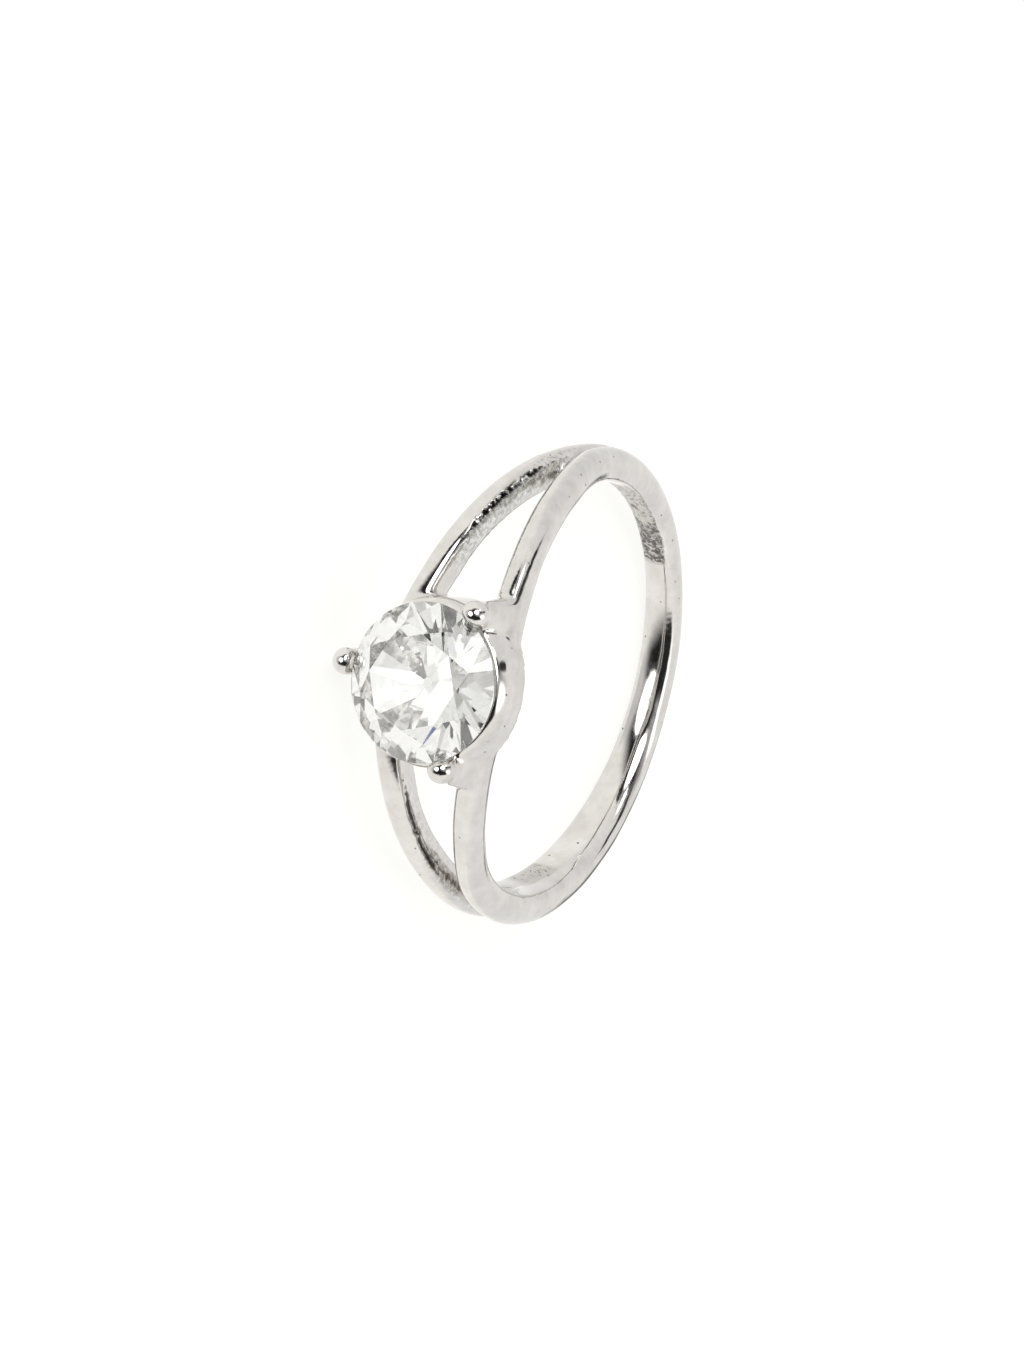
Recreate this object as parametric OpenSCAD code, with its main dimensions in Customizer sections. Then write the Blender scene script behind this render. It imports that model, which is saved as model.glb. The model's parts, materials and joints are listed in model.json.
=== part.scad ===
// Split-band ring with one round brilliant in a three-claw cup, lying on its side.
// Inside the modules the finger's axis is Z and the stone points towards -Y.

/* [Finger hole] */
// Inner diameter of the band
finger_d = 17.2; // [16.5:0.1:18]

/* [Band] */
// Width of one of the two strands
strand_w = 1.28; // [1.2:0.02:1.5]
// Thickness of a strand, from the finger hole outwards
strand_t = 1.41; // [1.3:0.01:1.6]
// Height of a strand's straight side, up to where its top starts to round
side_h = 0.54; // [0.4:0.02:0.7]
// How far the rounded inner edge of a strand reaches in from its side
edge_round = 0.15; // [0.1:0.01:0.2]

/* [Cup and claws] */
// Outer diameter of the cup under the stone
cup_d = 6.92; // [6.8:0.02:7.2]
// Outer diameter at the top of the bevel that rises from the cup's rim to the stone
bevel_d = 6.24; // [6:0.02:6.4]
// Diameter of the hole down through the cup
cup_hole_d = 4.6; // [4.2:0.1:5]
// Drop from the stone's girdle to the rim, where the bevel starts
rim_drop = 0.9; // [0.6:0.05:1.1]
// Distance from the stone's axis to the middle of a claw
claw_reach = 3.6; // [3.5:0.01:3.65]
// Angle from the upper side of the ring's axis to each of the two claws there
claw_spread = 62.5; // [55:0.5:70]
// Diameter of a claw's post
claw_d = 1.08; // [1:0.02:1.12]
// Diameter of the bead that ends a claw
bead_d = 1.16; // [1.12:0.02:1.3]
// Rise from the girdle to the middle of the bead
bead_rise = 0; // [-0.05:0.01:0.15]

/* [Stone] */
// Diameter of the stone at its girdle
stone_d = 6.5; // [6.4:0.05:6.6]
// Width of the table, corner to corner, as a share of the diameter
table_share = 0.61; // [0.53:0.01:0.64]
// Height of the crown above the girdle
crown_h = 0.95; // [0.8:0.01:1.1]
// Slope of the pavilion's main facets, in degrees
pavilion_slope = 36; // [34:0.5:38]
// Gap between the stone's tip and the finger hole
tip_gap = 0.08; // [0.05:0.01:0.3]
// Gap left all round the stone where the metal is cut for it
seat_gap = 0.05; // [0.04:0.01:0.06]

/* [Rest] */
// Tilt of the finger's axis: the ring lies on its lone claw and on the back of its band
rest_tilt = -10.6; // [-11:0.05:-10]
// Roll towards the lower half of the band, which is the wider one
rest_roll = 0.62; // [-1:0.02:1]

/* [Hidden] */

finger_r = finger_d / 2;
strand_half = strand_w / 2;
stone_r = stone_d / 2;

// The strands' way round the finger: angle from the stone, and how far each strand's
// middle lies from the band's middle plane on the upper and the lower half of the ring
route = [
    // angle, upper, lower
    [0, 2.37, 2.37],
    [22, 1.91, 1.9],
    [45, 1.38, 1.35],
    [62, 0.95, 0.91],
    [85, 0.33, 0.75],
    [120, 0.12, 0.47],
    [180, 0.15, 0.15]
];
angle_col = 0;
upper_col = 1;
lower_col = 2;
last_row = len(route) - 1;

ring_steps = 120;
top_steps = 10;
sink = 0.25;

// The stone's facets meet the girdle a little outside it, so that the round girdle cut
// leaves the usual scalloped edge
facet_count = 8;
half_turn = 180 / facet_count;
flare_r = 1.03 * stone_r;
table_r = table_share * stone_r;
star_r = 0.77 * stone_r;
lower_tip_r = 0.23 * stone_r;
culet_r = 0.2;
pavilion_h = (flare_r - culet_r) * tan(pavilion_slope);
culet_s = finger_r + tip_gap;
girdle_s = culet_s + pavilion_h;
table_s = girdle_s + crown_h;
rim_s = girdle_s - rim_drop;
bead_s = girdle_s + bead_rise;
bevel_s = girdle_s - (flare_r - bevel_d / 2) * tan(pavilion_slope);

// Height of a main facet's plane where a point stands half a facet to the side of it
function crown_at(radius) =
    girdle_s + crown_h * (flare_r - radius * cos(half_turn)) / (flare_r - table_r);
function pavilion_at(radius) =
    girdle_s - pavilion_h * (flare_r - radius * cos(half_turn)) / (flare_r - culet_r);

// Height at a radius on the line through two points, each a radius and a height
function height_at(radius, from, to) =
    from[1] + (to[1] - from[1]) * (radius - from[0]) / (to[0] - from[0]);
star_tip = [star_r, crown_at(star_r)];
lower_tip = [lower_tip_r, pavilion_at(lower_tip_r)];
sharp_edge = [flare_r, girdle_s];

// Height and depth of a point of the middle plane once the ring is laid down
function laid_z(y, z) = (y * sin(rest_tilt) + z * cos(rest_tilt)) * cos(rest_roll);
function laid_y(y, z) = y * cos(rest_tilt) - z * sin(rest_tilt);
lowest_z = laid_z(-finger_r, -(claw_reach + claw_d / 2));
front_y = laid_y(-table_s, -table_r);
back_y = laid_y(finger_r + strand_t, route[last_row][upper_col]);

// Slope of the route at a row, from the rows on both sides of it
function row_slope(i, col) =
    i == 0 || i == last_row ? 0 :
    (route[i + 1][col] - route[i - 1][col]) / (route[i + 1][angle_col] - route[i - 1][angle_col]);

// Strand offset at an angle from 0 to 180, as a smooth curve through the rows
function route_offset(angle, col) =
    let (
        i = max([for (k = [0 : last_row - 1]) if (route[k][angle_col] <= angle) k]),
        span = route[i + 1][angle_col] - route[i][angle_col],
        u = (angle - route[i][angle_col]) / span
    )
    (2 * u ^ 3 - 3 * u ^ 2 + 1) * route[i][col]
    + (u ^ 3 - 2 * u ^ 2 + u) * span * row_slope(i, col)
    + (3 * u ^ 2 - 2 * u ^ 3) * route[i + 1][col]
    + (u ^ 3 - u ^ 2) * span * row_slope(i + 1, col);

// Offset at any angle from the stone: up to 180 is the upper half, past it the lower
function strand_offset(angle) =
    angle <= 180 ? route_offset(angle, upper_col) : route_offset(360 - angle, lower_col);

// Outline of a strand, as across and outwards: rounded top, straight sides, rounded inner
// edges, and a foot that reaches into the finger hole until the hole is cut
function edge_point(v) = [strand_half - edge_round * (1 - cos(v)), side_h * (1 - sin(v))];
strand_outline = concat(
    [for (k = [0 : top_steps]) let (u = 180 * k / top_steps)
        [strand_half * cos(u), side_h + (strand_t - side_h) * sin(u)]],
    [for (v = [35, 65]) [-edge_point(v)[0], edge_point(v)[1]]],
    [[-(strand_half - 0.4), -sink], [strand_half - 0.4, -sink]],
    [for (v = [65, 35]) edge_point(v)]
);

function on_ring(angle, across, radius) = [-radius * sin(angle), -radius * cos(angle), across];

module strand(side) {
    n = len(strand_outline);
    function at(i, j) = (i % ring_steps) * n + j % n;
    rings = [for (i = [0 : ring_steps - 1]) let (angle = 360 * i / ring_steps)
        for (p = strand_outline)
            on_ring(angle, side * (strand_offset(angle) + p[0]), finger_r + p[1])];
    corners = [for (i = [0 : ring_steps - 1], j = [0 : n - 1])
        each [[at(i, j), at(i, j + 1), at(i + 1, j)],
              [at(i + 1, j), at(i, j + 1), at(i + 1, j + 1)]]];
    polyhedron(rings, side > 0 ? corners : [for (f = corners) [f[2], f[1], f[0]]]);
}

// Turns +Z to the stone's direction, so that heights there are distances from the finger's axis
module head_frame() rotate([90, 0, 0]) children();

module cup() head_frame() {
    cylinder(h = rim_s, d = cup_d, $fn = 96);
    translate([0, 0, rim_s]) cylinder(h = bevel_s - rim_s, d1 = cup_d, d2 = bevel_d, $fn = 96);
}

module claw() translate([claw_reach, 0, 0]) {
    cylinder(h = bead_s, d = claw_d, $fn = 48);
    translate([0, 0, bead_s]) sphere(d = bead_d, $fn = 48);
}

// Two claws on the upper side and one opposite them
module claws() head_frame()
    for (turn = [90 - claw_spread, 90 + claw_spread, -90]) rotate(turn) claw();

module finger_hole() cylinder(h = 20, r = finger_r, center = true, $fn = 180);

// Room for the stone: its widest outline turned about its own axis, a gap larger all round
module seat() head_frame() rotate_extrude($fn = 96) polygon([
    [0, culet_s - seat_gap],
    [culet_r + seat_gap, culet_s - seat_gap],
    lower_tip + [seat_gap, -seat_gap],
    [stone_r + seat_gap, height_at(stone_r, lower_tip, sharp_edge) - seat_gap],
    [stone_r + seat_gap, height_at(stone_r, star_tip, sharp_edge) + seat_gap],
    star_tip + [seat_gap, seat_gap],
    [star_r + seat_gap, table_s + 1],
    [0, table_s + 1]
]);

module cup_hole() head_frame() cylinder(h = rim_s + 1, d = cup_hole_d, $fn = 96);

module ring_metal() color("gainsboro") rest_pose() difference() {
    union() {
        strand(1);
        strand(-1);
        cup();
        claws();
    }
    finger_hole();
    cup_hole();
    seat();
}

function ring_of(count, turn, radius, height) =
    [for (k = [0 : count - 1]) let (a = turn + 360 * k / count)
        [radius * cos(a), radius * sin(a), height]];

module stone() color("white") rest_pose() head_frame() {
    n = facet_count;
    table = 0;
    star = n;
    girdle = 2 * n;
    lower = 4 * n;
    culet = 5 * n;
    points = concat(
        ring_of(n, 0, table_r, table_s),
        ring_of(n, half_turn, star_tip[0], star_tip[1]),
        ring_of(2 * n, 0, sharp_edge[0], sharp_edge[1]),
        ring_of(n, half_turn, lower_tip[0], lower_tip[1]),
        ring_of(n, half_turn, culet_r / cos(half_turn), culet_s)
    );
    facets = concat(
        [[for (k = [n - 1 : -1 : 0]) table + k]],
        [[for (k = [0 : n - 1]) culet + k]],
        [for (k = [0 : n - 1]) let (
            next = (k + 1) % n,
            before = (k + n - 1) % n,
            main = girdle + 2 * k,
            mid = main + 1,
            after = girdle + (2 * k + 2) % (2 * n)
        ) each [
            [table + k, table + next, star + k],
            [table + k, star + k, main, star + before],
            [star + k, mid, main],
            [star + k, after, mid],
            [main, mid, lower + k],
            [mid, after, lower + k],
            [main, lower + k, culet + k, culet + before, lower + before]
        ]]
    );
    intersection() {
        polyhedron(points, facets);
        cylinder(h = table_s + 1, r = stone_r, $fn = 128);
    }
}

// Sets the ring down with its lowest point at zero and its middle over the origin
module rest_pose() translate([0, -(front_y + back_y) / 2, -lowest_z])
    rotate([rest_tilt, rest_roll, 0]) children();

ring_metal();
stone();
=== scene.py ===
import json
import math

import bmesh
import bpy
import numpy
from mathutils import Matrix, Vector, noise


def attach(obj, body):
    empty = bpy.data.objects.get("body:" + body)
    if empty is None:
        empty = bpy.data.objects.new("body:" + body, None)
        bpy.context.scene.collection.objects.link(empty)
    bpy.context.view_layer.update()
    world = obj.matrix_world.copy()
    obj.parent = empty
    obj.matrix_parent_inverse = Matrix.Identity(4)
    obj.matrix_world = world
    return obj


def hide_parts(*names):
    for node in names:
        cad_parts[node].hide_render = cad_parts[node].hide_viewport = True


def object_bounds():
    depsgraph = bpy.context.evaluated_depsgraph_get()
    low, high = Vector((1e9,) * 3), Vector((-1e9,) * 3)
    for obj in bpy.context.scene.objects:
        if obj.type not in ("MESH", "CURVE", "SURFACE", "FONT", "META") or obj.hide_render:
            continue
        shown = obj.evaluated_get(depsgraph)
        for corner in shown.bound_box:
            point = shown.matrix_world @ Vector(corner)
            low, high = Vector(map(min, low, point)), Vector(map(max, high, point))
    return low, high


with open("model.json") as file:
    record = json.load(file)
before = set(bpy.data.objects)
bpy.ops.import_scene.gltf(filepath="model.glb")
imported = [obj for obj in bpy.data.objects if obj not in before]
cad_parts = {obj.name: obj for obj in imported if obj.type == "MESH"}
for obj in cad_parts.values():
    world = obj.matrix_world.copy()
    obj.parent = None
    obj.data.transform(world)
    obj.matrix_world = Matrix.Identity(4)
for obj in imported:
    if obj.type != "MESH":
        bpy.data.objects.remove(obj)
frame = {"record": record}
cadBox = [list(corner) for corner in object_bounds()]
print("frame loaded")

mm = 0.001    # the ring is modelled in millimetres and laid down in metres at the end
tiny = 1e-5   # points closer than this are one

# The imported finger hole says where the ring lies: its centre, its axis and its radius
fingerMount = next(m for m in frame["record"]["mounts"] if m["name"] == "finger_hole")
ringCentre = Vector(fingerMount["pos_m"])
fingerAxis = Vector(fingerMount["axis"]).normalized()
fingerRadius = fingerMount["dims"]["r_mm"]

# Ring space: Z is the finger's axis and the stone points towards -Y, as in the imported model
ringX = Vector((0, 1, 0)).cross(fingerAxis).normalized()
ringY = fingerAxis.cross(ringX)
restTurn = Matrix((ringX, ringY, fingerAxis)).transposed().to_4x4()
restPlace = Matrix.Translation(ringCentre) @ restTurn @ Matrix.Scale(mm, 4)
headTurn = Matrix.Rotation(math.radians(90), 4, "X")   # turns +Z towards the stone


camera = {
    "azimuth": -7.42,       # degrees round the ring, 0 looks straight at the stone's side
    "elevation": 37.55,     # degrees above the floor
    "roll": 106.46,         # the photo shows the ring standing up, so the view is turned
    "distance": 0.4564,     # metres from the ring's centre
    "pixelsPerMetre": 24441,          # at the ring's centre, in the photo's frame
    "centrePixel": (550.47, 683.34),  # where the ring's centre falls in that frame
    "frameSize": (1024, 1365),
    "sensor": 36,           # millimetres
    "clip": (0.01, 10),     # metres
}


def makeCamera(c):
    azimuth, elevation = math.radians(c["azimuth"]), math.radians(c["elevation"])
    back = Vector((
        math.sin(azimuth) * math.cos(elevation),
        -math.cos(azimuth) * math.cos(elevation),
        math.sin(elevation),
    ))
    level = Vector((0, 0, 1)).cross(back).normalized()
    turn = Matrix((level, back.cross(level), back)).transposed()
    turn = turn @ Matrix.Rotation(math.radians(c["roll"]), 3, "Z")
    wide, high = c["frameSize"]
    focal = c["pixelsPerMetre"] * c["distance"]
    # the ring's centre isn't in the middle of the frame, so the camera aims a little past it
    aside = (c["centrePixel"][0] - wide / 2) / focal
    below = (c["centrePixel"][1] - high / 2) / focal
    aim = Matrix.Rotation(math.atan(aside), 3, "Y") @ Matrix.Rotation(math.atan(below), 3, "X")
    data = bpy.data.cameras.new("camera")
    data.sensor_width = c["sensor"]
    data.lens = focal * c["sensor"] / high
    data.clip_start, data.clip_end = c["clip"]
    cam = bpy.data.objects.new("camera", data)
    cam.matrix_world = Matrix.Translation(ringCentre + back * c["distance"]) @ (turn @ aim).to_4x4()
    bpy.context.scene.collection.objects.link(cam)
    bpy.context.scene.camera = cam
    return turn


lensTurn = makeCamera(camera)   # columns: right, up and back, as seen through the lens
print("camera placed")


def addNode(tree, kind, settings=None, **links):
    # settings are the node's own properties or, by socket name, its values; a link is named for
    # its socket, or i and the socket's number
    node = tree.nodes.new(kind)
    for key, value in (settings or {}).items():
        if key in node.inputs:
            node.inputs[key].default_value = value
        else:
            setattr(node, key, value)
    for key, source in links.items():
        socket = int(key[1:]) if key[0] == "i" and key[1:].isdigit() else key.replace("_", " ")
        tree.links.new(source, node.inputs[socket])
    return node


def linearColour(hexCode):
    parts = [int(hexCode[i:i + 2], 16) / 255 for i in (1, 3, 5)]
    return [p / 12.92 if p <= 0.04045 else ((p + 0.055) / 1.055) ** 2.4 for p in parts] + [1]


strand = {
    "width": 1.28,        # millimetres, as all lengths of the ring
    "thick": 1.41,
    "side": 0.54,         # height of the straight side
    "lean": 0.04,         # how far the side leans in on its way to the finger hole
    "corner": 0.17,       # radius of the edge at the finger hole
    "crownPoints": 28,
    "cornerPoints": 6,
    "shoulders": {1: 2, -1: 3.2},   # exponents; the strand behind is left squarer
    "steps": 480,         # round the finger
    # angle from the stone, and each strand's distance from the middle plane on both halves
    "route": [
        {"angle": 0, "upper": 2.37, "lower": 2.37},
        {"angle": 22, "upper": 1.91, "lower": 1.9},
        {"angle": 45, "upper": 1.38, "lower": 1.35},
        {"angle": 62, "upper": 0.95, "lower": 0.91},
        {"angle": 85, "upper": 0.33, "lower": 0.75},
        {"angle": 120, "upper": 0.12, "lower": 0.47},
        {"angle": 180, "upper": 0.15, "lower": 0.15},
    ],
}
head = {
    "cup": 6.92,          # a diameter, as are the bevel's top, the hole, the claw and the bead
    "bevel": 6.24,
    "bevelPoints": 8,
    "bevelBulge": 0.03,   # polishing leaves the bevel rounded
    "hole": 4.6,
    "rimDrop": 0.9,       # from the girdle down to the rim
    "clawReach": 3.6,     # from the stone's axis to a claw's
    "clawSpread": 62.5,   # degrees from the upper side to each of its two claws
    "claw": 1.08,
    "clawSteps": 64,
    "bead": 1.16,
    "beadPoints": 16,
    "foot": 2,            # how far cup and claws reach into the finger hole until it is cut
    "armTop": 0.35,       # drop from the girdle to the top of the slope beside a claw's post
    "armSlope": 3.7,      # how steeply the strand's outer side climbs to the post
    "armFade": 0.25,      # the slope dies out over this length past the post
    # nearer the ring's middle it climbs to the cup, and from start to full the one slope turns
    # into the other; below the stone a crease is left beside the arm
    "climb": {
        "upper": {"cupSlope": 1.45, "start": 2.2, "full": 2.9},
        "lower": {"cupSlope": 0.6, "start": 2.55, "full": 2.75},
    },
    "steps": 160,         # round the stone
}
stone = {
    "width": 6.5,
    "table": 0.61,        # share of the width
    "crown": 0.95,
    "pavilion": 36,       # degrees
    "flare": 1.03,        # the facets meet this much outside the girdle
    "star": 0.77,         # shares of the radius, as is the next
    "lowerTip": 0.23,
    "culet": 0.2,
    "facets": 8,
    "tipGap": 0.08,       # from the finger hole to the stone's tip
    "seatGap": 0.05,      # between the stone and its seat
    "steps": 128,
    "cutSlack": 1e-6,     # how exactly a facet is ground
}

stoneRadius = stone["width"] / 2
halfTurn = math.pi / stone["facets"]
flareRadius = stone["flare"] * stoneRadius
tableRadius = stone["table"] * stoneRadius
pavilionRise = math.tan(math.radians(stone["pavilion"]))
culetAt = fingerRadius + stone["tipGap"]
girdleAt = culetAt + (flareRadius - stone["culet"]) * pavilionRise
tableAt = girdleAt + stone["crown"]
rimAt = girdleAt - head["rimDrop"]
bevelAt = girdleAt - (flareRadius - head["bevel"] / 2) * pavilionRise


def crownHeight(radius):
    return girdleAt + stone["crown"] * (flareRadius - radius) / (flareRadius - tableRadius)


def pavilionHeight(radius):
    return girdleAt - (flareRadius - radius) * pavilionRise


starTip = (stone["star"] * stoneRadius, crownHeight(stone["star"] * stoneRadius * math.cos(halfTurn)))
lowerTip = (
    stone["lowerTip"] * stoneRadius,
    pavilionHeight(stone["lowerTip"] * stoneRadius * math.cos(halfTurn)),
)


def strandOffset(angle, half):
    # a smooth curve through the route's rows, level at both ends
    rows = strand["route"]
    slopes = [0.0]
    for before, after in zip(rows, rows[2:]):
        slopes.append((after[half] - before[half]) / (after["angle"] - before["angle"]))
    slopes.append(0.0)
    i = max(k for k in range(len(rows) - 1) if rows[k]["angle"] <= angle)
    span = rows[i + 1]["angle"] - rows[i]["angle"]
    u = (angle - rows[i]["angle"]) / span
    return (
        (2 * u ** 3 - 3 * u ** 2 + 1) * rows[i][half]
        + (u ** 3 - 2 * u ** 2 + u) * span * slopes[i]
        + (3 * u ** 2 - 2 * u ** 3) * rows[i + 1][half]
        + (u ** 3 - u ** 2) * span * slopes[i + 1]
    )


def offsetAt(point):
    # angle from the stone, up the photo on the half where x is negative
    angle = math.degrees(math.atan2(abs(point.x), -point.y))
    return strandOffset(angle, "upper" if point.x <= 0 else "lower")


def newObject(name, bm):
    mesh = bpy.data.meshes.new(name)
    bm.to_mesh(mesh)
    bm.free()
    obj = bpy.data.objects.new(name, mesh)
    bpy.context.scene.collection.objects.link(obj)
    return obj


def spunSolid(name, outline, axis, steps, turn=Matrix.Identity(4)):
    # outline is in the XZ plane; a closed one is a hoop, an open one starts and ends on Z
    bm = bmesh.new()
    verts = [bm.verts.new((x, 0, z)) for x, z in outline]
    edges = [bm.edges.new(pair) for pair in zip(verts, verts[1:])]
    closed = outline[0][0] > tiny
    if closed:
        edges.append(bm.edges.new((verts[-1], verts[0])))
    bmesh.ops.spin(
        bm, geom=verts + edges, cent=(0, 0, 0), axis=axis, dvec=(0, 0, 0),
        angle=2 * math.pi, steps=steps, use_merge=True, use_duplicate=False,
    )
    bmesh.ops.remove_doubles(bm, verts=bm.verts, dist=tiny)
    bmesh.ops.recalc_face_normals(bm, faces=bm.faces)
    bmesh.ops.transform(bm, matrix=turn, verts=bm.verts)
    return newObject(name, bm)


def strandOutline(gapShoulder):
    # across and outwards: rounded top, straight sides that curve in, flat inside; an exponent
    # above 2 makes the shoulder towards the gap squarer than an oval's
    half, side = strand["width"] / 2, strand["side"]
    rise = strand["thick"] - side
    points = []
    for k in range(strand["crownPoints"] + 1):
        u = math.pi * k / strand["crownPoints"]
        power = 2 / gapShoulder if u > math.pi / 2 else 1
        across = math.copysign(abs(math.cos(u)) ** power, math.cos(u))
        points.append((half * across, side + rise * math.sin(u) ** power))
    left, right = [], []
    corner = strand["corner"]
    middle = half - strand["lean"] - corner
    for k in range(strand["cornerPoints"] + 1):
        v = math.pi / 2 * k / strand["cornerPoints"]
        across, outwards = middle + corner * math.cos(v), corner * (1 - math.sin(v))
        left.append((-across, outwards))
        right.insert(0, (across, outwards))
    return points + left + right


def climbBesideClaws(obj):
    # beside the two claws and the cup the strand's outer side runs up to them in one slope
    spread = math.radians(head["clawSpread"])
    clawAcross = head["clawReach"] * math.cos(spread)
    armEnd = head["clawReach"] * math.sin(spread) + head["claw"] / 2
    for v in obj.data.vertices:
        away = abs(v.co.x)
        climb = head["climb"]["upper" if v.co.x <= 0 else "lower"]
        onCrown = math.hypot(v.co.x, v.co.y) > fingerRadius + strand["side"]
        fade = 1 - rise(away, armEnd, armEnd + head["armFade"])
        if v.co.y > 0 or fade == 0 or v.co.z < clawAcross or not onCrown:
            continue
        share = min(max((away - climb["start"]) / (climb["full"] - climb["start"]), 0), 1)
        slope = climb["cupSlope"] + share * (head["armSlope"] - climb["cupSlope"])
        top = rimAt + share * (girdleAt - head["armTop"] - rimAt)
        foot = math.sqrt((fingerRadius + strand["side"]) ** 2 - away ** 2)
        outerSide = offsetAt(v.co) + strand["width"] / 2
        climbed = max(-v.co.y, min(top, foot + slope * (outerSide - v.co.z)))
        v.co.y -= (climbed + v.co.y) * fade


def makeStrand(side):
    gapShoulder = strand["shoulders"][side]
    outline = [(fingerRadius + out, across) for across, out in strandOutline(gapShoulder)]
    obj = spunSolid("strand", outline, (0, 0, 1), strand["steps"])
    for v in obj.data.vertices:
        v.co.z = side * (offsetAt(v.co) + v.co.z)
    if side < 0:
        obj.data.flip_normals()
    else:
        climbBesideClaws(obj)
    return obj


def makeClaw(turn):
    # the bead is a little wider than its post
    post, bead = head["claw"] / 2, head["bead"] / 2
    foot = fingerRadius - head["foot"]
    outline = [(0, foot), (post, foot), (post, girdleAt - math.sqrt(bead ** 2 - post ** 2))]
    for k in range(head["beadPoints"]):
        u = math.pi / 2 * k / head["beadPoints"]
        outline.append((bead * math.cos(u), girdleAt + bead * math.sin(u)))
    outline.append((0, girdleAt + bead))
    place = headTurn @ Matrix.Rotation(math.radians(turn), 4, "Z")
    place = place @ Matrix.Translation((head["clawReach"], 0, 0))
    return spunSolid("claw", outline, (0, 0, 1), head["clawSteps"], place)


def makeCup():
    wide, narrow = head["cup"] / 2, head["bevel"] / 2
    foot = fingerRadius - head["foot"]
    outline = [(0, foot), (wide, foot)]
    for k in range(head["bevelPoints"] + 1):
        share = k / head["bevelPoints"]
        bulge = head["bevelBulge"] * math.sin(math.pi * share)
        outline.append((wide + (narrow - wide) * share + bulge, rimAt + (bevelAt - rimAt) * share))
    outline.append((0, bevelAt))
    return spunSolid("cup", outline, (0, 0, 1), head["steps"], headTurn)


def cutters():
    halfLong = 10          # well past the band's edges
    above = tableAt + 1    # clear of the stone
    hole = spunSolid(
        "fingerHole",
        [(0, -halfLong), (fingerRadius, -halfLong), (fingerRadius, halfLong), (0, halfLong)],
        (0, 0, 1), strand["steps"],
    )
    well = spunSolid(
        "cupHole", [(0, 0), (head["hole"] / 2, 0), (head["hole"] / 2, tableAt), (0, tableAt)],
        (0, 0, 1), head["steps"], headTurn,
    )
    gap = stone["seatGap"]

    def seatHeight(tip, sign):
        share = (stoneRadius - tip[0]) / (flareRadius - tip[0])
        return tip[1] + (girdleAt - tip[1]) * share + sign * gap

    seat = spunSolid(
        "seat",
        [
            (0, culetAt - gap), (stone["culet"] + gap, culetAt - gap),
            (lowerTip[0] + gap, lowerTip[1] - gap),
            (stoneRadius + gap, seatHeight(lowerTip, -1)),
            (stoneRadius + gap, seatHeight(starTip, 1)),
            (starTip[0] + gap, starTip[1] + gap),
            (starTip[0] + gap, above), (0, above),
        ],
        (0, 0, 1), head["steps"], headTurn,
    )
    return [hole, well, seat]


def combine(obj, other, operation):
    mod = obj.modifiers.new("combine", "BOOLEAN")
    mod.operation = operation
    mod.solver = "MANIFOLD"
    mod.object = other
    bakeModifiers(obj)
    bpy.data.objects.remove(other)


def bakeModifiers(obj):
    bpy.context.view_layer.update()
    done = bpy.data.meshes.new_from_object(obj.evaluated_get(bpy.context.evaluated_depsgraph_get()))
    obj.modifiers.clear()
    old = obj.data
    obj.data = done
    bpy.data.meshes.remove(old)


# A pair is where a change begins and where it is full; heights are above the finger hole
comfort = {
    "reach": 0.85,        # width over which the inside falls away towards an edge
    "fall": 0.065,
    "most": 1.2,          # past the edge the fall grows no further than this share of the reach
    "fade": (0.12, 0.5),  # heights over which the rounding dies out
    # one edge of the lower half is worn rounder: from and to in degrees, the degrees over which
    # that sets in and dies out, the width and the depth
    "worn": {"from": 112, "to": 176, "ease": 12, "reach": 0.3, "fall": 0.13},
    "buffing": 30,        # passes of the felt that makes the inside and its edges smooth
    "pull": 0.5,          # share of the way to its neighbours' middle that a point moves
    "buffedTop": (0.35, 0.6),
    "underCup": (0.9, 0.8),    # the felt spares the holes there; shares of the hole's radius
    "seatEdge": (0.15, 0.3),   # distance from the edge of the stone's seat, burnished as well
    "seatFrom": 0.2,           # and how far above the rim that begins
}
casting = {
    "voxel": 0.084,       # size of the casting grid's cells; as fine as the piece's triangle limit allows
    "smoothing": 9,       # passes that take the sharpness off every edge
    "smoothPull": 0.5,
    "creasePasses": 24,   # passes that round the inner corners where parts are soldered
    "creasePull": 0.5,
    "creaseTurns": 4,     # passes after which the surface's directions are read anew
}


def readPoints(mesh):
    points = numpy.empty(len(mesh.vertices) * 3)
    mesh.vertices.foreach_get("co", points)
    return points.reshape(-1, 3)


def readNormals(mesh):
    normals = numpy.empty(len(mesh.vertices) * 3)
    mesh.vertex_normals.foreach_get("vector", normals)
    return normals.reshape(-1, 3)


def neighbourMiddle(mesh):
    edges = numpy.empty(len(mesh.edges) * 2, dtype=numpy.int32)
    mesh.edges.foreach_get("vertices", edges)
    first, second = edges.reshape(-1, 2).T
    neighbours = numpy.bincount(edges, minlength=len(mesh.vertices))[:, None]

    def middle(points):
        total = numpy.zeros_like(points)
        for axis in range(3):
            total[:, axis] += numpy.bincount(first, points[second, axis], len(points))
            total[:, axis] += numpy.bincount(second, points[first, axis], len(points))
        return total / neighbours

    return middle


def fillCreases(mesh):
    # each point moves towards its neighbours' middle only where that is outwards, so inner
    # corners fill up as with solder, and the room for the stone is left alone
    points = readPoints(mesh)
    middle = neighbourMiddle(mesh)
    fromStoneAxis = numpy.hypot(points[:, 0], points[:, 2])
    free = (fromStoneAxis > head["bevel"] / 2) | (points[:, 1] > -fingerRadius)
    for k in range(casting["creasePasses"]):
        if k % casting["creaseTurns"] == 0:
            normals = readNormals(mesh)
        outwards = ((middle(points) - points) * normals).sum(axis=1)
        push = numpy.where(free, numpy.maximum(outwards, 0), 0) * casting["creasePull"]
        points += normals * push[:, None]
        mesh.vertices.foreach_set("co", points.ravel())
        mesh.update()


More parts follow.
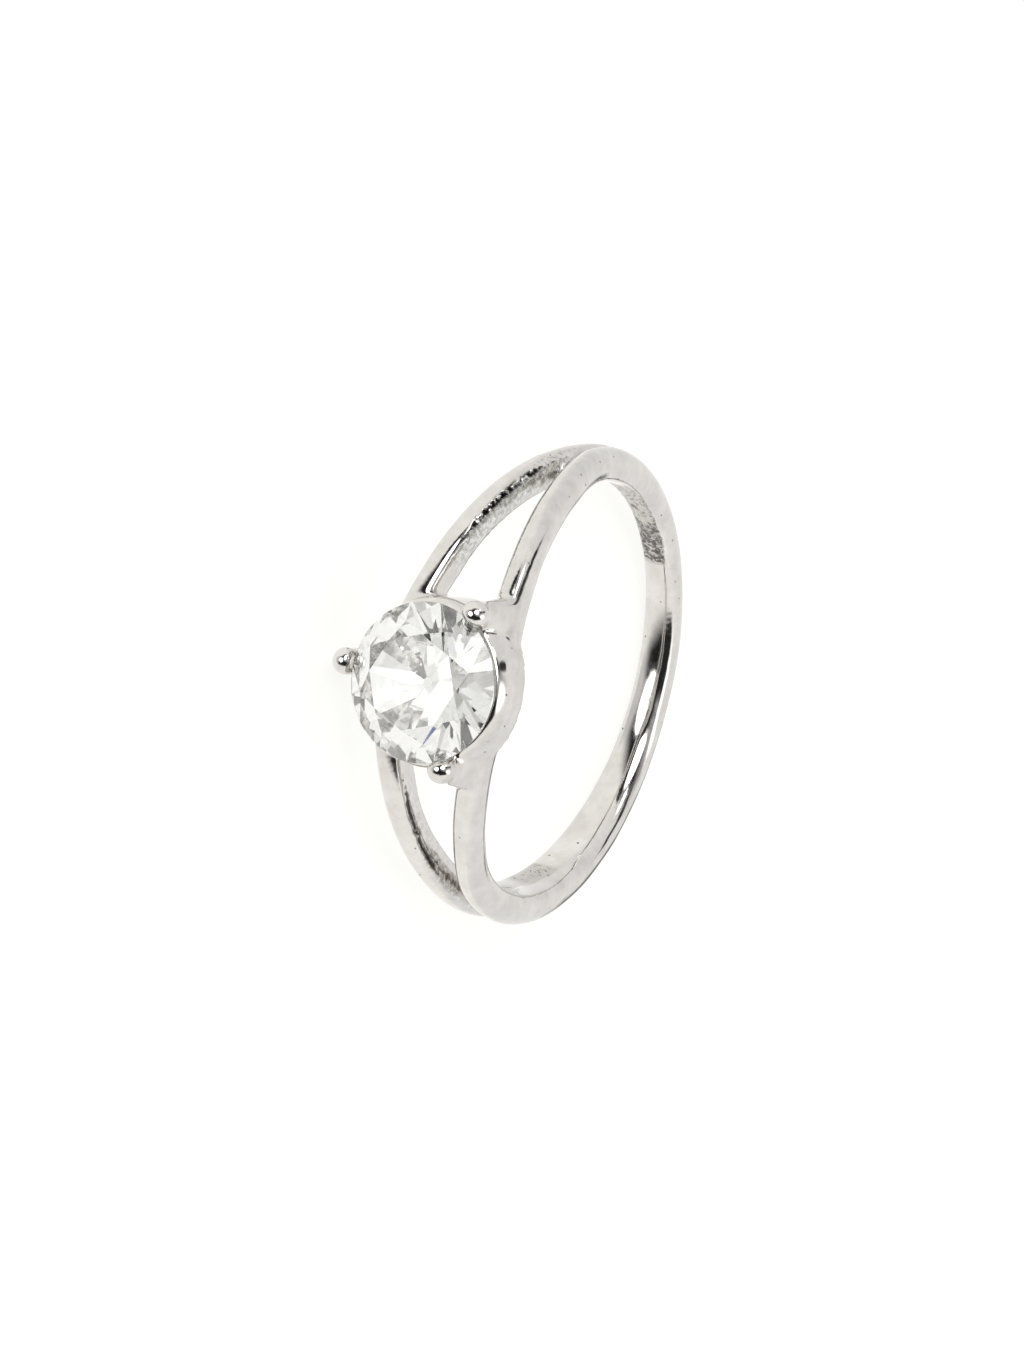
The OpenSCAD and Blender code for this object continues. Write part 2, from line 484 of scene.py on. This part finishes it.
surface = {
    # the polishing wheel doesn't reach the sides that face the gap, nor the inside of the cup
    "skin": (0.4, 0.52),      # distances from the strand's middle where the rough side begins
    "skinTop": (1.1, 1.3),    # heights where it ends
    "skinStart": 24,          # degrees from the stone
    "skinEnd": 86,
    "skinEase": (12, 6),      # degrees over which it sets in and dies out
    "frontPolish": 0.13,      # the strand in front is polished this much further round
    "lowerShare": 0.45,       # the lower half is smoother
    "skinLeft": 0.35,         # share of the skin that wear has left near the finger
    "skinWear": (0.25, 0.8),  # heights over which the wear ends
    "cupEdge": 0.15,          # polished width inside the cup's edge
    "cupFoot": 0.1,           # height where the cup's rough inside begins
    # places inside that a file has left, whose dark colour is also a painted dark reflection on the
    # inside of the band: where each starts, is deepest and ends, in degrees from the stone, and the
    # share of the depth that it starts with
    "filedAndPaintedDark": [
        {"upper": True, "start": 101, "full": 130, "end": 144,
         "first": 0.64, "across": 0.5, "share": 1},
        {"upper": False, "start": 98, "full": 106, "end": 116,
         "first": 0.7, "across": 0.3, "share": 0.4},
    ],
    "filedAndPaintedDarkEase": {"start": 4, "full": 5, "end": 2},   # degrees that each of these changes takes
    "filedAndPaintedDarkTop": (0.08, 0.16),
    # pits along the gap shoulder of the strand behind, whose near-black oxide is also a painted dark
    # reflection and painted shade along that shoulder: from and to in degrees, the line's height
    # above the finger hole and distance from the strand's middle, its width, the pits' size, and how
    # much of the line they fill
    "pits": [
        {"upper": True, "start": 37, "end": 67, "height": 1.24, "aside": 0.5, "width": 0.19,
         "size": 0.17, "fill": 0.04, "share": 1},
        {"upper": True, "start": 62, "end": 82, "height": 1.3, "aside": 0.5, "width": 0.45,
         "size": 0.12, "fill": -0.15, "share": 0.32},
        {"upper": False, "start": 24, "end": 60, "height": 1.02, "aside": 0.62, "width": 0.13,
         "size": 0.26, "fill": 0.3, "share": 0.9},
        {"upper": False, "start": 46, "end": 70, "height": 0.9, "aside": 0.64, "width": 0.42,
         "size": 0.11, "fill": 0, "share": 0.4},
    ],
    "pitDepth": 0.05,
    "pitEase": 6,             # degrees over which a line of pits sets in and dies out
    "pitEdge": (-0.05, 0.1),  # noise values between which a pit's wall falls
    "lineEdge": (0, 0.4),     # shares of a line's width over which its pits thin out
    # between the joined strands, above this height; from, to and ease are in degrees
    "groove": {"from": 66, "to": 97, "ease": (6, 12), "height": 0.6, "width": 0.1, "depth": 0.13},
    "grain": 0.3,             # from one lump of the rough side to the next
    "grainOctaves": 3,
    "grainDepth": 0.045,
    "wave": 1.5,              # length of the waves that hand polishing leaves
    "waveDepth": 0.014,
}


def rise(values, low, high):
    # 0 up to low and 1 from high, with a smooth step between
    share = numpy.clip((values - low) / (high - low), 0, 1)
    return share * share * (3 - 2 * share)


def between(values, low, high, easeIn, easeOut):
    return rise(values, low, low + easeIn) * (1 - rise(values, high - easeOut, high))


def heightOf(points):
    return numpy.hypot(points[:, 0], points[:, 1]) - fingerRadius


def alongStrand(points):
    # each point's angle from the stone, its half, and where the strand's middle is there
    angle = numpy.degrees(numpy.arctan2(numpy.abs(points[:, 0]), -points[:, 1]))
    onUpper = points[:, 0] <= 0
    degrees = numpy.arange(180)
    middle = numpy.where(
        onUpper,
        numpy.interp(angle, degrees, [strandOffset(a, "upper") for a in degrees]),
        numpy.interp(angle, degrees, [strandOffset(a, "lower") for a in degrees]),
    )
    return angle, onUpper, middle


def roundInside(mesh):
    # the inside of the band falls away towards both edges, so that it slides over the finger
    points = readPoints(mesh)
    angle, onUpper, middle = alongStrand(points)
    height = heightOf(points)
    outwards = points[:, :2] / (fingerRadius + height)[:, None]
    toEdge = middle + strand["width"] / 2 - strand["corner"] - numpy.abs(points[:, 2])
    fade = 1 - rise(height, *comfort["fade"])
    share = numpy.clip(1 - toEdge / comfort["reach"], 0, comfort["most"])
    push = comfort["fall"] * share ** 2 * fade
    worn = comfort["worn"]
    share = numpy.clip(1 - toEdge / worn["reach"], 0, comfort["most"])
    share *= between(angle, worn["from"], worn["to"], worn["ease"], worn["ease"])
    push += worn["fall"] * share ** 2 * fade * ~onUpper * (points[:, 2] > 0)
    points[:, :2] += outwards * push[:, None]
    buffed = 1 - rise(height, *comfort["buffedTop"])
    buffed *= rise(points[:, 1], *(-fingerRadius * share for share in comfort["underCup"]))
    # the edge of the stone's seat is burnished too
    fromSeat = numpy.abs(numpy.hypot(points[:, 0], points[:, 2]) - head["bevel"] / 2)
    seat = (1 - rise(fromSeat, *comfort["seatEdge"])) * (-points[:, 1] > rimAt + comfort["seatFrom"])
    buffed = comfort["pull"] * numpy.maximum(buffed, seat)
    middleOf = neighbourMiddle(mesh)
    for k in range(comfort["buffing"]):
        points += (middleOf(points) - points) * buffed[:, None]
    mesh.vertices.foreach_set("co", points.ravel())
    mesh.update()


def castSkinShare(points):
    angle, onUpper, middle = alongStrand(points)
    height = heightOf(points)
    towardsGap = middle - numpy.abs(points[:, 2])
    towardsGap -= numpy.where(points[:, 2] > 0, surface["frontPolish"], 0)
    side = rise(towardsGap, *surface["skin"])
    side *= 1 - rise(height, *surface["skinTop"])
    side *= between(angle, surface["skinStart"], surface["skinEnd"], *surface["skinEase"])
    side *= numpy.where(onUpper, 1, surface["lowerShare"])
    side *= surface["skinLeft"] + (1 - surface["skinLeft"]) * rise(height, *surface["skinWear"])
    inCup = numpy.hypot(points[:, 0], points[:, 2]) < head["bevel"] / 2 - surface["cupEdge"]
    inCup &= (points[:, 1] < 0) & (height > surface["cupFoot"])
    return numpy.maximum(side, inCup)


# painted dark reflection: dark patches inside the band, over real file marks
def filedAndPaintedDarkShare(points):
    angle, onUpper = alongStrand(points)[:2]
    ease = surface["filedAndPaintedDarkEase"]
    filedAndPaintedDark = numpy.zeros(len(points))
    for place in surface["filedAndPaintedDark"]:
        share = place["first"] * rise(angle, place["start"], place["start"] + ease["start"])
        share += (1 - place["first"]) * rise(angle, place["full"] - ease["full"], place["full"])
        share *= 1 - rise(angle, place["end"] - ease["end"], place["end"])
        share *= (onUpper == place["upper"]) * (points[:, 2] < place["across"]) * place["share"]
        filedAndPaintedDark = numpy.maximum(filedAndPaintedDark, share)
    return filedAndPaintedDark * (1 - rise(heightOf(points), *surface["filedAndPaintedDarkTop"]))


# painted dark reflection and painted shade: real pits plus a near-black line and a grey zone laid
# along the gap shoulder
def pitsWithPaintedDarkStreak(points):
    angle, onUpper, middle = alongStrand(points)
    height = heightOf(points)
    aside = middle - numpy.abs(points[:, 2])
    ease = surface["pitEase"]
    pits = numpy.zeros(len(points))
    for line in surface["pits"]:
        near = 1 - numpy.hypot(height - line["height"], aside - line["aside"]) / line["width"]
        near *= between(angle, line["start"], line["end"], ease, ease)
        near *= (onUpper == line["upper"]) * (points[:, 2] < 0)
        for k in numpy.flatnonzero(near > 0):
            hollow = noise.noise(Vector(points[k]) / line["size"]) + line["fill"]
            deep = rise(hollow, *surface["pitEdge"]) * rise(near[k], *surface["lineEdge"])
            pits[k] = max(pits[k], deep * line["share"])
    return pits


def wearSurface(mesh):
    points, normals = readPoints(mesh), readNormals(mesh)
    skin, filedAndPaintedDark, pits = castSkinShare(points), filedAndPaintedDarkShare(points), pitsWithPaintedDarkStreak(points)
    rough = numpy.maximum(skin, filedAndPaintedDark)
    depth = -pits * surface["pitDepth"]
    for k, point in enumerate(points):
        depth[k] += noise.noise(Vector(point) / surface["wave"]) * surface["waveDepth"]
        if rough[k] > 0:
            lump = noise.turbulence(Vector(point) / surface["grain"], surface["grainOctaves"], False)
            depth[k] -= rough[k] * lump * surface["grainDepth"]
    # a fine groove runs on where the strands have met
    groove = surface["groove"]
    angle = alongStrand(points)[0]
    line = numpy.exp(-(points[:, 2] / groove["width"]) ** 2) * (heightOf(points) > groove["height"])
    line *= between(angle, groove["from"], groove["to"], *groove["ease"])
    depth -= groove["depth"] * line
    points += normals * depth[:, None]
    mesh.vertices.foreach_set("co", points.ravel())
    for name, values in (("castSkin", skin), ("filedAndPaintedDark", filedAndPaintedDark), ("pitsWithPaintedDarkStreak", pits)):
        mesh.attributes.new(name, "FLOAT", "POINT").data.foreach_set("value", values)
    mesh.update()


def makeRingMetal():
    ring = makeStrand(1)
    spread = head["clawSpread"]
    claws = [makeClaw(turn) for turn in (90 - spread, 90 + spread, -90)]
    for part in [makeStrand(-1), makeCup()] + claws:
        combine(ring, part, "UNION")
    for cutter in cutters():
        combine(ring, cutter, "DIFFERENCE")
    remesh = ring.modifiers.new("cast in one", "REMESH")
    remesh.mode = "VOXEL"
    remesh.voxel_size = casting["voxel"]
    remesh.use_smooth_shade = True
    bakeModifiers(ring)
    fillCreases(ring.data)
    roundInside(ring.data)
    smooth = ring.modifiers.new("tumbled", "SMOOTH")
    smooth.factor = casting["smoothPull"]
    smooth.iterations = casting["smoothing"]
    bakeModifiers(ring)
    wearSurface(ring.data)
    ring.name = "splitBandRing"
    ring.data.name = "splitBandRing"
    return ring


def stonePoint(radius, turn, height):
    return Vector((radius * math.cos(turn), radius * math.sin(turn), height))


def makeStone():
    # a round preform is ground flat, one facet after the other, as a cutter does it
    bm = bmesh.new()
    bmesh.ops.create_cone(
        bm, cap_ends=True, segments=stone["steps"], radius1=stoneRadius, radius2=stoneRadius,
        depth=tableAt - culetAt,
        matrix=Matrix.Translation((0, 0, (tableAt + culetAt) / 2)),
    )
    middle = Vector((0, 0, girdleAt))

    def grind(a, b, c):
        normal = (b - a).cross(c - a).normalized()
        if normal.dot(a - middle) < 0:
            normal.negate()
        cut = bmesh.ops.bisect_plane(
            bm, geom=bm.verts[:] + bm.edges[:] + bm.faces[:], dist=stone["cutSlack"],
            plane_co=a, plane_no=normal, clear_outer=True,
        )
        edges = [e for e in cut["geom_cut"] if isinstance(e, bmesh.types.BMEdge)]
        bmesh.ops.contextual_create(bm, geom=edges)

    step = 2 * halfTurn
    for k in range(stone["facets"]):
        at = k * step
        main = stonePoint(flareRadius, at, girdleAt)
        mid = stonePoint(flareRadius, at + halfTurn, girdleAt)
        after = stonePoint(flareRadius, at + step, girdleAt)
        corner = stonePoint(tableRadius, at, tableAt)
        nextCorner = stonePoint(tableRadius, at + step, tableAt)
        star = stonePoint(starTip[0], at + halfTurn, starTip[1])
        lower = stonePoint(lowerTip[0], at + halfTurn, lowerTip[1])
        lowerBefore = stonePoint(lowerTip[0], at - halfTurn, lowerTip[1])
        grind(corner, main, star)
        grind(corner, nextCorner, star)
        grind(star, mid, main)
        grind(star, after, mid)
        grind(main, mid, lower)
        grind(mid, after, lower)
        grind(main, lower, lowerBefore)
    bmesh.ops.recalc_face_normals(bm, faces=bm.faces)
    bmesh.ops.transform(bm, matrix=headTurn, verts=bm.verts)
    return newObject("roundBrilliant", bm)


noiseSpan = (0.35, 0.65)   # most values of a noise texture lie between these
silver = {
    "pale": "#e5e2df",
    "cloud": "#d5d2ce",
    "skin": "#edecea",
    "skinDark": "#c0bfbc",
    "skinSpan": (0.4, 0.6),    # noise values from the dark to the pale parts of the skin
    "filedAndPaintedDark": "#c9c6c2",
    "darkOfMarksAndPaintedReflection": "#6a6765",
    "filedAndPaintedDarkFull": 0.3,          # depth of filing from which nothing of the polish is left
    "oxideAndPaintedDark": "#1f1d1c",
    "cloudSize": 1.1,          # millimetres, as all sizes and depths here
    "smearSize": 0.45,
    "polished": (0.07, 0.15),  # roughness between the smears and on them
    "rough": 0.26,
    "rippleSize": 0.6,
    "rippleDepth": 0.003,
    "pitSpacing": 0.7,
    "pitWidth": 0.06,
    "pitFloor": 0.4,           # share of its width that is its dark floor
    "pitDepth": 0.02,
    "grainSize": 0.2,
    "grainDepth": 0.025,
    "scribbleSize": 0.3,
    "scribbleTwist": 1.6,
    "scribbleSpan": (0.16, 0.32),   # noise values from the dark to the pale parts of the marks
    "scribbleGain": 0.3,       # how much deeper filing lowers the noise, so that it is darker
}


def rhodiumPlatedSilver():
    # cast silver, polished by hand and plated: pale and bright, with faint clouds, a few casting
    # pits and rippled reflections; the skin beside the gap is dull and granular, near-black oxide
    # sits in its pits and also paints a dark reflected streak and shade along the shoulder, and a
    # file has left curled marks inside whose dark colour also paints the dark reflection there
    material = bpy.data.materials.new("rhodiumPlatedSilver_castAndPolished")
    material.use_nodes = True
    tree = material.node_tree
    shader = tree.nodes["Principled BSDF"]
    shader.inputs["Metallic"].default_value = 1
    where = addNode(
        tree, "ShaderNodeMapping", {"Scale": (1 / mm, 1 / mm, 1 / mm)},
        Vector=addNode(tree, "ShaderNodeTexCoord").outputs["Object"],
    ).outputs[0]

    def worn(name):
        return addNode(tree, "ShaderNodeAttribute", {"attribute_name": name}).outputs["Fac"]

    def grain(size, detail=2, roughness=0.5, twist=0):
        return addNode(
            tree, "ShaderNodeTexNoise",
            {"Scale": 1 / size, "Detail": detail, "Roughness": roughness, "Distortion": twist},
            Vector=where,
        ).outputs["Fac"]

    def blend(share, first, second):
        node = addNode(tree, "ShaderNodeMix", {"data_type": "RGBA"}, i0=share)
        for index, colour in ((6, first), (7, second)):
            if isinstance(colour, str):
                node.inputs[index].default_value = linearColour(colour)
            else:
                tree.links.new(colour, node.inputs[index])
        return node.outputs[2]

    def spread(value, low, high, toLow=0.0, toHigh=1.0):
        return addNode(
            tree, "ShaderNodeMapRange",
            {"From Min": low, "From Max": high, "To Min": toLow, "To Max": toHigh}, Value=value,
        ).outputs[0]

    skin, filedAndPaintedDark, oxideAndPaintedDark = worn("castSkin"), worn("filedAndPaintedDark"), worn("pitsWithPaintedDarkStreak")
    pits = addNode(tree, "ShaderNodeTexVoronoi", {"Scale": 1 / silver["pitSpacing"]}, Vector=where)
    pitShare = silver["pitWidth"] / silver["pitSpacing"]
    hollow = spread(pits.outputs["Distance"], pitShare * silver["pitFloor"], pitShare)

    clouds = spread(grain(silver["cloudSize"], detail=6, roughness=0.65), *noiseSpan)
    clouded = blend(clouds, silver["pale"], silver["cloud"])
    polishedColour = blend(hollow, silver["darkOfMarksAndPaintedReflection"], clouded)
    skinGrain = grain(silver["grainSize"], detail=4)
    skinColour = blend(spread(skinGrain, *silver["skinSpan"]), silver["skinDark"], silver["skin"])
    scribble = grain(silver["scribbleSize"], detail=4, roughness=0.6, twist=silver["scribbleTwist"])
    bared = addNode(tree, "ShaderNodeMath", {"operation": "MULTIPLY_ADD"}, i0=filedAndPaintedDark, i2=scribble)
    bared.inputs[1].default_value = -silver["scribbleGain"]
    marks = spread(bared.outputs[0], *silver["scribbleSpan"])
    # painted dark reflection inside the band, laid over the real file marks
    filedAndPaintedDarkColour = blend(marks, silver["darkOfMarksAndPaintedReflection"], silver["filedAndPaintedDark"])
    bare = spread(filedAndPaintedDark, 0, silver["filedAndPaintedDarkFull"])
    colour = blend(bare, blend(skin, polishedColour, skinColour), filedAndPaintedDarkColour)
    # painted dark reflection: the near-black colour laid on the pits along the gap shoulder
    tree.links.new(blend(oxideAndPaintedDark, colour, silver["oxideAndPaintedDark"]), shader.inputs["Base Color"])

    smears = spread(grain(silver["smearSize"], detail=3), *noiseSpan, *silver["polished"])
    dulled = addNode(tree, "ShaderNodeMath", {"operation": "MAXIMUM"}, i0=skin, i1=bare)
    roughness = addNode(
        tree, "ShaderNodeMix", {"data_type": "FLOAT", "B": silver["rough"]},
        i0=dulled.outputs[0], i2=smears,
    )
    tree.links.new(roughness.outputs[0], shader.inputs["Roughness"])

    normal = None
    for height, depth, strength in (
        (grain(silver["rippleSize"]), silver["rippleDepth"], None),
        (hollow, silver["pitDepth"], None),
        (skinGrain, silver["grainDepth"], skin),
    ):
        bump = addNode(tree, "ShaderNodeBump", {"Distance": depth * mm, "Strength": 1}, Height=height)
        if strength:
            tree.links.new(strength, bump.inputs["Strength"])
        if normal:
            tree.links.new(normal, bump.inputs["Normal"])
        normal = bump.outputs[0]
    tree.links.new(normal, shader.inputs["Normal"])
    return material


zirconia = {
    "clear": "#f2f2ef",
    "hazy": "#e2e2de",
    "ior": 2.16,
    "hazeSize": 1.6,          # millimetres
    "polished": (0.015, 0.05),   # roughness between the smudges and on them
    "smudgeSize": 0.8,
}


def cubicZirconia():
    # cut and polished: clear and glassy, with a thin haze and smudges from handling that soften
    # what is seen through its facets
    material = bpy.data.materials.new("cubicZirconia_cutAndPolished")
    material.use_nodes = True
    tree = material.node_tree
    shader = tree.nodes["Principled BSDF"]
    shader.inputs["Transmission Weight"].default_value = 1
    shader.inputs["IOR"].default_value = zirconia["ior"]
    where = addNode(
        tree, "ShaderNodeMapping", {"Scale": (1 / mm, 1 / mm, 1 / mm)},
        Vector=addNode(tree, "ShaderNodeTexCoord").outputs["Object"],
    ).outputs[0]
    haze = addNode(tree, "ShaderNodeTexNoise", {"Scale": 1 / zirconia["hazeSize"]}, Vector=where)
    colour = addNode(tree, "ShaderNodeMix", {"data_type": "RGBA"}, i0=haze.outputs["Fac"])
    colour.inputs[6].default_value = linearColour(zirconia["clear"])
    colour.inputs[7].default_value = linearColour(zirconia["hazy"])
    tree.links.new(colour.outputs[2], shader.inputs["Base Color"])
    smudges = addNode(
        tree, "ShaderNodeTexNoise", {"Scale": 1 / zirconia["smudgeSize"], "Detail": 3}, Vector=where,
    )
    fromLow, fromHigh = noiseSpan
    low, high = zirconia["polished"]
    roughness = addNode(
        tree, "ShaderNodeMapRange",
        {"From Min": fromLow, "From Max": fromHigh, "To Min": low, "To Max": high},
        Value=smudges.outputs["Fac"],
    )
    tree.links.new(roughness.outputs[0], shader.inputs["Roughness"])
    return material


def finishPiece(obj, node, material):
    obj.data.transform(restPlace)
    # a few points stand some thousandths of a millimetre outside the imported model's box
    points = numpy.clip(readPoints(obj.data), cadBox[0], cadBox[1])
    obj.data.vertices.foreach_set("co", points.ravel())
    obj.data.materials.clear()
    obj.data.materials.append(material)
    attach(obj, "root")
    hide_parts(node)


ringMetal = makeRingMetal()
print("metal cast:", len(ringMetal.data.polygons), "faces")
roundBrilliant = makeStone()
print("stone cut:", len(roundBrilliant.data.polygons), "facets")
finishPiece(ringMetal, "ring_metal", rhodiumPlatedSilver())
finishPiece(roundBrilliant, "stone", cubicZirconia())


lightTable = {
    "radius": 2,              # metres
    "steps": 64,
    "acrylic": "#959595",
    "roughness": 0.9,
    "glow": "#fffffc",
    "glowStrength": 0.78,
}


def makeFloor():
    # opal acrylic, evenly lit from below: matt, and as white as the photo's ground
    bm = bmesh.new()
    bmesh.ops.create_circle(
        bm, cap_ends=True, segments=lightTable["steps"], radius=lightTable["radius"],
    )
    floor = newObject("floor", bm)
    material = bpy.data.materials.new("opalAcrylic_litFromBelow")
    material.use_nodes = True
    shader = material.node_tree.nodes["Principled BSDF"]
    shader.inputs["Base Color"].default_value = linearColour(lightTable["acrylic"])
    shader.inputs["Roughness"].default_value = lightTable["roughness"]
    shader.inputs["Emission Color"].default_value = linearColour(lightTable["glow"])
    shader.inputs["Emission Strength"].default_value = lightTable["glowStrength"]
    floor.data.materials.append(material)
    # the polished metal and the stone mirror the studio below and behind them, not the floor
    floor.visible_glossy = False
    floor.visible_transmission = False


studio = {
    "walls": "#fffefb",
    "level": 1.05,
    # Each patch is a soft-edged oval, and a later one covers the ones before. Its middle is given
    # in degrees across and up from the direction of the lens, with half its width and height,
    # how bright it is, the share of its size over which it fades, and its tint if it has one.
    "columns": ("name", "across", "up", "wide", "high", "level", "soft", "tint"),
    "patches": [
        ("dimmer side", 115, 42, 70, 45, 0.86, 0.8),
        ("dimmer floor", 140, -45, 50, 35, 0.9, 0.8),
        ("dark room", -6, 0, 71, 46, 0.02, 0.18),
        ("pale door", -76, 12, 17, 20, 0.7, 0.4),
        ("dark lintel", 2, 45, 24, 6, 0.02, 0.2),
        ("dark sill", 12, -30, 46, 16, 0.02, 0.12),
        ("doorway", 158, -12, 12, 4.5, 0.2, 0.5),
        ("dark gap", 75, 16, 19, 5.5, 0.03, 0.25),
        ("table", 42, -2, 38, 12, 0.45, 0.5),
        ("edge card", 62, -15, 20, 15, 1.8, 0.3),
        ("far lamp", 45, 31, 9, 5, 3.4, 0.2),
        ("left lamp", -40, 7, 17.9, 16, 3.8, 0.12),
        ("right lamp", 14, 20, 19, 18, 3.8, 0.12),
    ],
    # what the stone gathers and throws back: cards by the lens and behind, in a dim room with
    # dark corners that make its darker facets
    "stoneLevel": 0.75,
    "stoneCards": [
        ("card by the lens", -19, 11, 46, 30, 1.2, 0.25),
        ("card behind", 155, 6, 42, 36, 1.35, 0.3),
        ("dark low", 20, -40, 45, 22, 0.02, 0.2),
        ("dark right", 80, 0, 30, 30, 0.02, 0.2),
        ("dark top", 20, 65, 60, 18, 0.02, 0.2),
        ("dark far right", 105, -10, 20, 30, 0.02, 0.2),
        ("blue flash", 14, 24, 8, 5, 0.8, 0.3, "#2a45a8"),
    ],
    # light is thrown about inside the stone many times before it comes out
    "bounces": {"all": 24, "mirror": 20, "stone": 20},
}


def makeWorld():
    world = bpy.data.worlds.new("studio")
    bpy.context.scene.world = world
    world.use_nodes = True
    tree = world.node_tree
    direction = addNode(tree, "ShaderNodeTexCoord").outputs["Generated"]

    def along(axis):
        node = addNode(tree, "ShaderNodeVectorMath", {"operation": "DOT_PRODUCT"}, i0=direction)
        node.inputs[1].default_value = axis
        return node.outputs["Value"]

    def calculate(operation, first, second=None):
        node = addNode(tree, "ShaderNodeMath", {"operation": operation})
        for socket, value in zip(node.inputs, (first, second)):
            if isinstance(value, bpy.types.NodeSocket):
                tree.links.new(value, socket)
            elif value is not None:
                socket.default_value = value
        return node.outputs[0]

    across = calculate("ARCTAN2", along(lensTurn.col[0]), along(lensTurn.col[2]))
    up = calculate("ARCSINE", along(lensTurn.col[1]))

    def lit(level, patches):
        walls = addNode(tree, "ShaderNodeRGB")
        walls.outputs[0].default_value = [c * level for c in linearColour(studio["walls"])]
        colour = walls.outputs[0]
        for row in patches:
            patch = dict(zip(studio["columns"], row))
            distances = []
            for angle, middle, size in ((across, "across", "wide"), (up, "up", "high")):
                offset = calculate("SUBTRACT", angle, math.radians(patch[middle]))
                share = calculate("DIVIDE", offset, math.radians(patch[size]))
                distances.append(calculate("MULTIPLY", share, share))
            distance = calculate("SQRT", calculate("ADD", *distances))
            edge = addNode(tree, "ShaderNodeMapRange", {
                "interpolation_type": "SMOOTHSTEP", "From Min": 1 + patch["soft"],
                "From Max": 1 - patch["soft"],
            }, Value=distance)
            tint = linearColour(patch.get("tint", "#ffffff"))
            mix = addNode(tree, "ShaderNodeMix", {"data_type": "RGBA"}, i0=edge.outputs[0], i6=colour)
            mix.inputs[7].default_value = [c * patch["level"] for c in tint]
            colour = mix.outputs[2]
        return colour

    throughStone = addNode(tree, "ShaderNodeLightPath").outputs["Is Transmission Ray"]
    seen = addNode(
        tree, "ShaderNodeMix", {"data_type": "RGBA"}, i0=throughStone,
        i6=lit(studio["level"], studio["patches"]),
        i7=lit(studio["stoneLevel"], studio["stoneCards"]),
    )
    tree.links.new(seen.outputs[2], tree.nodes["Background"].inputs["Color"])


makeFloor()
makeWorld()
bpy.context.scene.view_settings.view_transform = "Standard"
cycles = bpy.context.scene.cycles
cycles.max_bounces = studio["bounces"]["all"]
cycles.glossy_bounces = studio["bounces"]["mirror"]
cycles.transmission_bounces = studio["bounces"]["stone"]
print("studio lit")
